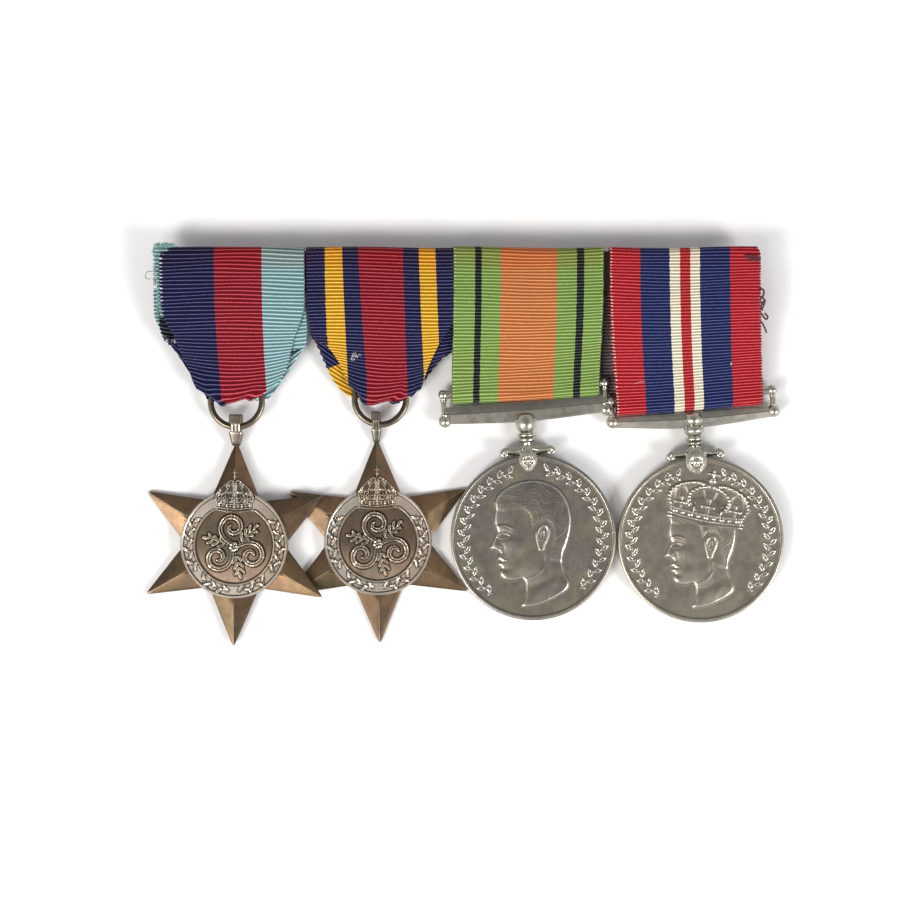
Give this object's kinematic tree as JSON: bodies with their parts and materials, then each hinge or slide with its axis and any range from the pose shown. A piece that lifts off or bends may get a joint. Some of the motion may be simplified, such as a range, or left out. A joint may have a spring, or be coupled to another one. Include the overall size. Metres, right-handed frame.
{
  "type": "mounted medal group",
  "caption": "Stars and round medals hung on striped ribbons that are folded over a brooch bar, lying flat as laid on a table.",
  "frame": {"origin": "middle of the group's length and height, on the surface that it lies on", "axes": "+X along the brooch bar, +Y from the medals up to the bar, +Z away from the surface, towards the fronts of the medals"},
  "size_m": [0.1388, 0.0868, 0.0081],
  "materials": {
    "brooch_bar": "dull plated steel bar",
    "brooch_pin": "plain steel pin",
    "ribbon_1": "ribbed ribbon with navy, red and light blue stripes",
    "ribbon_2": "ribbed ribbon with navy, yellow and dark red stripes",
    "ribbon_3": "ribbed ribbon with green, black and orange stripes",
    "ribbon_4": "ribbed ribbon with red, blue and white stripes",
    "ring_1": "aged bronze wire",
    "ring_2": "aged bronze wire",
    "star_1": "aged bronze with bright edges",
    "star_2": "aged bronze with bright edges",
    "suspender_1": "worn cupronickel",
    "disc_1": "toned cupronickel with fine scratches",
    "suspender_2": "worn cupronickel",
    "disc_2": "toned cupronickel with warm patches"
  },
  "bodies": {
    "root": {"brooch_bar": "brooch_bar", "brooch_pin": "brooch_pin", "ribbon_1": "ribbon_1", "ribbon_2": "ribbon_2", "ribbon_3": "ribbon_3", "ribbon_4": "ribbon_4", "ring_1": "ring_1", "ring_2": "ring_2", "star_1": "star_1", "star_2": "star_2", "suspender_1": "suspender_1", "disc_1": "disc_1", "suspender_2": "suspender_2", "disc_2": "disc_2"}
  },
  "joints": []
}
